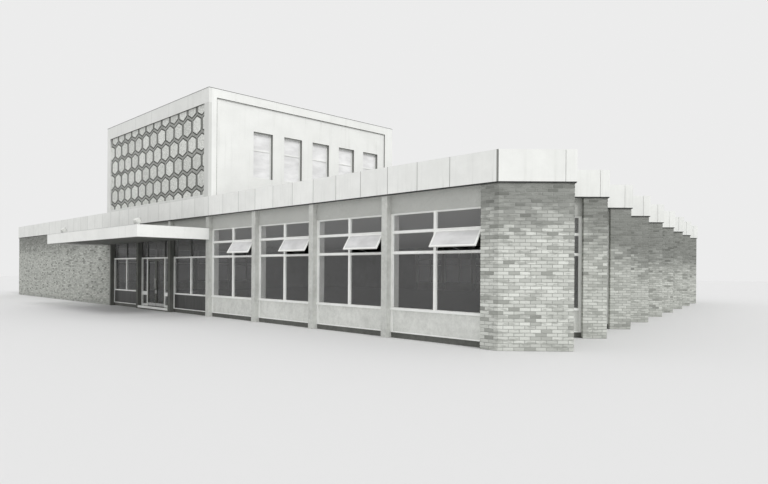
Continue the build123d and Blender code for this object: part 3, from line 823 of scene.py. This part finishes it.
def buildRelief(spec):
    chance = random.Random(spec["seed"])
    pad = addPad(spec)
    parts = []
    for row in range(spec["rows"]):
        staggered = row % 2 == 0
        for column in range(spec["perRow"]):
            x = spec["firstPad"] - (column + (0.5 if staggered else 0.0)) * spec["pitch"]
            z = spec["firstRow"] - row * spec["rowHeight"]
            size = [1 + chance.uniform(-1.0, 0.6) * spec["jitter"] for _ in range(3)]
            turn = Matrix.Rotation(math.radians(chance.uniform(-1, 1) * spec["turn"]), 4, "Y")
            scale = Matrix.Diagonal((size[0], 1 - 0.2 * chance.random(), size[2], 1.0))
            part = copied(pad, planShift(x, spec["ground"], z) @ turn @ scale)
            setFaces(part, "tone", [chance.random()] * len(part.data.polygons))
            parts.append(part)
    bpy.data.objects.remove(pad)
    low = planPoint(spec["left"], 0.0, spec["bottom"])
    high = planPoint(spec["right"], 0.0, spec["top"])
    for part in parts:  # the rows' ends are cut; the top and bottom rows run into the frame
        selectOnly(part)
        setMode("EDIT")
        for corner, sign in ((low, -1.0), (high, 1.0)):
            trim(corner, (sign, 0.0, 0.0))
        close(part)
    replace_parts(gather("relief_pads", parts, makeReliefStone()), "relief_hexagons")
    low.y, high.y = (planPoint(0.0, spec[side]).y for side in ("ground", "wall"))
    gather("relief_bed", [easedBlock(low, high, spec["bedEase"])], reliefGround)


buildRelief(relief)
print("relief made")

# Putty beads round the panes

glazing = {
    "rows": ((0.7625, 2.1275), (2.1825, 2.6475), (2.7025, 3.1175)), "jamb": 0.070, "mullion": 0.080,
    "front": 0.162, "glass": 0.1795, "width": 0.013,
}


def addBead(width, height, spec):  # a ring of three-sided section round one pane
    bead = shape("cube", size=1.0)
    stretch((0.0, spec["front"], 0.0), (width, spec["glass"], height))
    pick(bead, facesFront)
    bpy.ops.mesh.inset(thickness=spec["width"], depth=spec["front"] - spec["glass"])
    pick(bead, lambda normal, centre: abs(normal.y) > 0.99)
    bpy.ops.mesh.bridge_edge_loops()
    return close(bead)


def bayPanes(width, mullion, vented, spec):  # the panes of one bay as left, right, low, high
    left, right, half = spec["jamb"], width - spec["jamb"], spec["mullion"] / 2
    spans = [(left, width / 2 - half), (width / 2 + half, right)] if mullion else [(left, right)]
    return [(left, right, low, high) for row, (low, high) in enumerate(spec["rows"])
            for side, (left, right) in enumerate(spans) if not (vented and row == 1 and side == 1)]


def beadBays(name, places, mullion, vented, spec):
    patterns, parts = {}, []
    for start, along, width in places:
        for left, right, low, high in bayPanes(width, mullion, vented, spec):
            key = (round(right - left, 4), round(high - low, 4))
            if key not in patterns:
                patterns[key] = addBead(*key, spec)
            parts.append(copied(patterns[key], wallMatrix(start, along) @ shift(left, 0.0, low)))
    for pattern in patterns.values():
        bpy.data.objects.remove(pattern)
    gather(name, parts, whitePaint)


def bayEnd(first, index):  # how far along its wall a bay of the left or rear wall ends
    return plan[first] + plan["bay"] * (index + 1) - plan["column"] / 2


def clearBay(start, along):
    return start, along, plan["bay"] - plan["column"]


frontPlaces = [((left, 0.0), (1.0, 0.0), width) for left, width in map(frontBay, range(plan["frontBays"]))]
sidePlaces = [(toothPoint(index, 0.0, 0.0), (slant, slant), plan["toothFace"] - plan["pierWidth"])
              for index in range(1, plan["teeth"])]
leftPlaces = [clearBay((frontLeft, bayEnd("leftFirstBay", index)), (0.0, -1.0)) for index in range(plan["leftBays"])]
rearPlaces = [clearBay((frontLeft + bayEnd("rearFirstBay", index), plan["depth"]), (-1.0, 0.0))
              for index in range(plan["rearBays"])]
beadBays("front_putty", frontPlaces, True, True, glazing)
beadBays("side_putty", sidePlaces, False, False, glazing)
beadBays("back_putty", leftPlaces + rearPlaces, True, False, glazing)
print("panes puttied")

# Strip under the fascia, cappings of the parapet, canopy and block, and lead round the block's foot

trims = {  # each section's corners as (y, z), then its eased edge
    "dripAndShadow": ((-0.036, 3.604), (0.012, 3.6305), 0.003), "capping": ((0.003, 4.296), (0.150, 4.317), 0.003),
}
blockTrims = {  # section, outline's front and back, sides left out, finish
    "canopy_capping": (((-0.004, 3.174), (0.075, 3.186), 0.003), (plan["canopyFront"], 0.0), (2,), alloy),
    "block_capping": (((-0.008, 8.234), (0.20, 8.252), 0.004), (-0.045, plan["blockBack"]), (), lead),
    "block_flashing": (((-0.008, 3.815), (0.075, 3.965), 0.003), (0.12, plan["blockBack"]), (0,), lead),
}


def edgeRuns(points):  # the straight runs of a closed outline, each with its two turns
    count = len(points)
    runs = []
    for number in range(count):
        before, start, end, after = (Vector(points[(number + step) % count]) for step in (-1, 0, 1, 2))
        legs = [(b - a).normalized() for a, b in ((before, start), (start, end), (end, after))]
        turns = [math.atan2(a.cross(b), a.dot(b)) for a, b in ((legs[0], legs[1]), (legs[1], legs[2]))]
        runs.append((tuple(start), tuple(legs[1]), (end - start).length, turns))
    return runs


def addStrip(length, turns, section, spare=0.5):  # a bar of one run; the mitres cut off the spare length
    low, high, ease = section
    strip = shape("cube", size=1.0)
    stretch((-spare, *low), (length + spare, *high))
    easeEdges(ease)
    mitre(length, turns)
    return close(strip)


def edgeStrips(points, section, skip=()):
    return [moved(addStrip(length, turns, section), wallMatrix(start, along))
            for number, (start, along, length, turns) in enumerate(edgeRuns(points)) if number not in skip]


blockLeft, blockRight = plan["blockLeft"], plan["blockRight"]
roofOutline = [(frontLeft, 0.0), (0.0, 0.0)]
for tooth in range(plan["teeth"]):
    roofOutline += [toothPoint(tooth, plan["toothFace"], 0.0), toothPoint(tooth + 1, 0.0, 0.0)]
roofOutline += [(rearCorner[0], plan["depth"]), (frontLeft, plan["depth"])]
# the dark strip under the fascia is painted shadow, standing for the shade under the fascia
gather("fascia_shadow_strip", edgeStrips(roofOutline, trims["dripAndShadow"]), makeDark("shadowStrip"))
cappings = edgeStrips(roofOutline[1:] + roofOutline[:1], trims["capping"], (len(roofOutline) - 1,))
for left, right, turns in ((frontLeft, blockLeft, (math.pi / 2, 0.0)), (blockRight, 0.0, (0.0, math.pi / 4))):
    cappings.append(moved(addStrip(right - left, turns, trims["capping"]), wallMatrix((left, 0.0), (1.0, 0.0))))
gather("parapet_capping", cappings, alloy)
for name, (section, (front, back), skip, finish) in blockTrims.items():
    outline = [(blockLeft, front), (blockRight, front), (blockRight, back), (blockLeft, back)]
    gather(name, edgeStrips(outline, section, skip), finish)
print("roof edge trimmed")

# Boards under the canopy

soffit = {"left": -22.04, "right": -12.57, "front": -2.54, "back": -0.05, "boards": 24, "gap": 0.008,
          "low": 2.817, "high": 2.832, "ease": 0.004, "dull": 84, "pale": 104}


def makeSoffitShade(spec):
    finish = Finish("soffitShade", Roughness=0.7)
    grain = finish.streaks(2.0, 40.0, 40.0, 4.0, 0.65)
    # the boards' dark grey is painted shade of the canopy
    finish.set(Base_Color=grain.step(0.3, 0.7).greys(spec["dull"], spec["pale"]))
    finish.bump(grain, 0.2, 0.002)
    return finish


def boardSoffit(spec):
    pitch = (spec["back"] - spec["front"]) / spec["boards"]
    low = planPoint(spec["left"], spec["front"], spec["low"])
    high = planPoint(spec["right"], spec["front"] + pitch - spec["gap"], spec["high"])
    board = easedBlock(low, high, spec["ease"])
    arrayed(board, spec["boards"], (0.0, pitch, 0.0))
    applyModifiers(board)
    gather("canopy_soffit_boards", [board], makeSoffitShade(spec))


boardSoffit(soffit)

# Rims and lenses of the flood lights that stand on the canopy and face the block

floodLight = {
    "places": (-13.01, -20.60), "y": -2.40, "z": 3.315, "tilt": 25.0, "face": 0.075, "width": 0.33, "height": 0.19,
    "rim": 0.012, "rimBack": 0.004, "proud": 0.010, "lensInset": 0.008, "lensBack": 0.002, "lens": 0.004,
    "lensEase": 0.0015, "lensGreys": (150, 205),
}


def makeLens(spec):
    finish = Finish("lens", Roughness=0.12)
    ribs = finish.node("TexWave", inputs={"Vector": finish.place, "Scale": 14.0})
    finish.set(Base_Color=ribs.greys(*spec["lensGreys"], 0))
    finish.bump(ribs, 0.4, 0.003)
    return finish


def addRim(spec):  # a ring round the lens, drawn facing up
    rim = shape("cube", size=1.0)
    x, y = spec["width"] / 2, spec["height"] / 2
    stretch((-x, -y, -spec["rimBack"]), (x, y, spec["proud"]))
    pick(rim, lambda normal, centre: abs(normal.z) > 0.5)
    bpy.ops.mesh.inset(thickness=spec["rim"])
    bpy.ops.mesh.bridge_edge_loops()
    return close(rim)


def fitLamps(spec):
    rims, lenses = [], []
    turn = Matrix.Rotation(math.radians(spec["tilt"] - 90), 4, "X")
    across, up = (spec[side] / 2 - spec["lensInset"] for side in ("width", "height"))
    for x in spec["places"]:
        place = planShift(x, spec["y"], spec["z"]) @ turn @ shift(0.0, 0.0, spec["face"])
        rims.append(moved(addRim(spec), place))
        lens = easedBlock((-across, -up, -spec["lensBack"]), (across, up, spec["lens"]), spec["lensEase"])
        lenses.append(moved(lens, place))
    gather("lamp_rims", rims, alloy)
    gather("lamp_lenses", lenses, makeLens(spec))


fitLamps(floodLight)
print("canopy finished")

# Linings beside the columns, boards under the windows, and the stays that hold the vents open

joinery = {
    "thick": 0.055, "front": 0.2205, "back": 0.385, "sill": 0.735, "head": 3.145, "board": 0.022, "ease": 0.003,
    "stayFrom": (-0.090, 2.262), "stayTo": (0.186, 2.188), "stayHalf": (0.008, 0.003), "stayEase": 0.001,
    "pegHalf": 0.014, "pegReach": (0.164, 0.188), "pegLevels": (2.182, 2.196), "pegThick": 0.004, "boardOut": 0.01,
}


def lineBays(name, places, spec):
    parts, thick = [], spec["thick"]
    front, back, sill, head = (spec[side] for side in ("front", "back", "sill", "head"))
    for start, along, width in places:
        for left, right, rear, top in ((0.0, thick, back, head), (width - thick, width, back, head),
                                       (thick, width - thick, back + spec["boardOut"], sill + spec["board"])):
            block = easedBlock((left, front, sill), (right, rear, top), spec["ease"])
            parts.append(moved(block, wallMatrix(start, along)))
    gather(name, parts, whitePaint)


def stayVents(places, spec):
    parts, ease, (half, thin) = [], spec["stayEase"], spec["stayHalf"]
    (fromY, fromZ), (toY, toZ) = spec["stayFrom"], spec["stayTo"]
    lean = shift(0.0, fromY, fromZ) @ Matrix.Rotation(math.atan2(toZ - fromZ, toY - fromY), 4, "X")
    wide, (near, far) = spec["pegHalf"], spec["pegReach"]
    for start, along, width in places:
        middle = ((width + glazing["mullion"]) / 2 + width - glazing["jamb"]) / 2
        place = wallMatrix(start, along) @ shift(middle, 0.0, 0.0)
        bar = easedBlock((-half, 0.0, -thin), (half, math.hypot(toY - fromY, toZ - fromZ), thin), ease)
        parts.append(moved(bar, place @ lean))
        for level in spec["pegLevels"]:
            peg = easedBlock((-wide, near, level), (wide, far, level + spec["pegThick"]), ease)
            parts.append(moved(peg, place))
    gather("vent_stays", parts, alloy)


lineBays("front_linings", frontPlaces, joinery)
lineBays("back_linings", leftPlaces + rearPlaces, joinery)
stayVents(frontPlaces, joinery)

# Hinges, kick plates and lock plates of the doors, and the strip on the threshold

ironmongery = {
    "hinges": (("left_door", -18.0175, 1.0), ("right_door", -16.4445, -1.0)), "y": 0.160, "leaf": 0.7835,
    "knuckle": 0.0052, "hingeTall": 0.100, "hingeLevels": (0.36, 1.13, 1.94),
    "kick": (0.010, 0.158, 0.282), "plateThick": 0.0016, "lock": (0.0425, 0.022, 0.68, 0.82), "cylinder": 0.011,
    "cylinderFrom": 0.001, "cylinderOut": 0.007, "sunk": 0.0005, "kickEase": 0.0004, "lockEase": 0.001,
    "nosingEase": 0.004, "nosing": ((-18.6435, -0.014, 0.052), (-15.7985, 0.036, 0.1435)),
}


def addRod(radius, low, high):  # an upright rod with a step round its ends
    rod = shape("cylinder", vertices=16, radius=radius, depth=high - low, location=(0.0, 0.0, (low + high) / 2))
    close(rod)
    bpy.ops.object.transform_apply(location=True)
    pick(rod, lambda normal, centre: abs(normal.z) > 0.5)
    bpy.ops.mesh.inset(thickness=radius * 0.3)
    return close(rod)


def fitDoor(name, hinge, side, spec):
    thick, y, half = spec["plateThick"], spec["y"], spec["hingeTall"] / 2
    back = y + spec["sunk"]
    hinges = [moved(addRod(spec["knuckle"], level - half, level + half), planShift(hinge, y))
              for level in spec["hingeLevels"]]
    margin, low, high = spec["kick"]
    left, right = sorted((hinge + side * margin, hinge + side * (spec["leaf"] - margin)))
    kick = moved(easedBlock((left, y - thick, low), (right, back, high), spec["kickEase"]), planShift(0.0, 0.0))
    inset, half, low, high = spec["lock"]
    x = hinge + side * (spec["leaf"] - inset)
    plate = moved(easedBlock((x - half, y - thick * 2, low), (x + half, back, high), spec["lockEase"]),
                  planShift(0.0, 0.0))
    turn = planShift(x, y - spec["cylinderFrom"], (low + high) / 2) @ Matrix.Rotation(math.pi / 2, 4, "X")
    barrel = moved(addRod(spec["cylinder"], 0.0, spec["cylinderOut"]), turn)
    for kind, parts in (("_hinges", hinges), ("_kick_plate", [kick]), ("_lock", [plate, barrel])):
        gather(name + kind, parts, alloy, name)


for name, hinge, side in ironmongery["hinges"]:
    fitDoor(name, hinge, side, ironmongery)
low, high = (planPoint(*corner) for corner in ironmongery["nosing"])
gather("threshold_nosing", [easedBlock(low, high, ironmongery["nosingEase"])], whitePaint)
print("joinery and ironmongery fitted")

# Camera, floor and light

view = {
    "eye": (25.797, -23.802, 1.706), "turn": 0.7986, "roll": -0.0073, "lens": 29.05, "shiftUp": 0.0371,
    "sunTurn": -5.0, "sunHeight": 38.0, "sunSpread": 18.0, "sunStrength": 1.15,
    "skyLevel": 0.92, "backdrop": 0.84, "floorLevel": 218, "floorSize": 240.0, "farthest": 500.0,
}


def makeFloor(spec):
    bpy.ops.object.select_all(action="DESELECT")
    bpy.ops.mesh.primitive_plane_add(size=spec["floorSize"], location=(0.0, 0.0, 0.0))
    floor = bpy.context.object
    floor.name = "studio_floor"
    cover(floor, Finish("studioFloor", Roughness=0.9, Base_Color=grey(spec["floorLevel"], 0)))


def makeCamera(spec):
    camera = bpy.data.objects.new("camera", bpy.data.cameras.new("camera"))
    bpy.context.scene.collection.objects.link(camera)
    camera.location = spec["eye"]
    camera.rotation_euler = (math.pi / 2, spec["roll"], spec["turn"])
    camera.data.lens = spec["lens"]
    camera.data.shift_y = spec["shiftUp"]
    camera.data.clip_end = spec["farthest"]
    bpy.context.scene.camera = camera


def makeLight(spec):
    sun = bpy.data.objects.new("sun", bpy.data.lights.new("sun", "SUN"))
    bpy.context.scene.collection.objects.link(sun)
    sun.data.energy = spec["sunStrength"]
    sun.data.angle = math.radians(spec["sunSpread"])
    sun.rotation_euler = (0.0, math.radians(90.0 - spec["sunHeight"]), math.radians(spec["sunTurn"]))
    world = bpy.data.worlds.new("sky")
    bpy.context.scene.world = world
    world.use_nodes = True
    sky = Signal(world.node_tree)
    background = world.node_tree.nodes["Background"]
    camera, glossy, through = (sky.node("LightPath", output=f"Is {ray} Ray")
                               for ray in ("Camera", "Glossy", "Transmission"))
    level = (camera + glossy + through).clamped() * (spec["backdrop"] - spec["skyLevel"]) + spec["skyLevel"]
    world.node_tree.links.new(level.socket, background.inputs["Strength"])
    background.inputs["Color"].default_value = (1.0, 1.0, 1.0, 1.0)


makeFloor(view)
makeCamera(view)
makeLight(view)
bpy.context.scene.view_settings.view_transform = "Standard"
print("camera and light set")
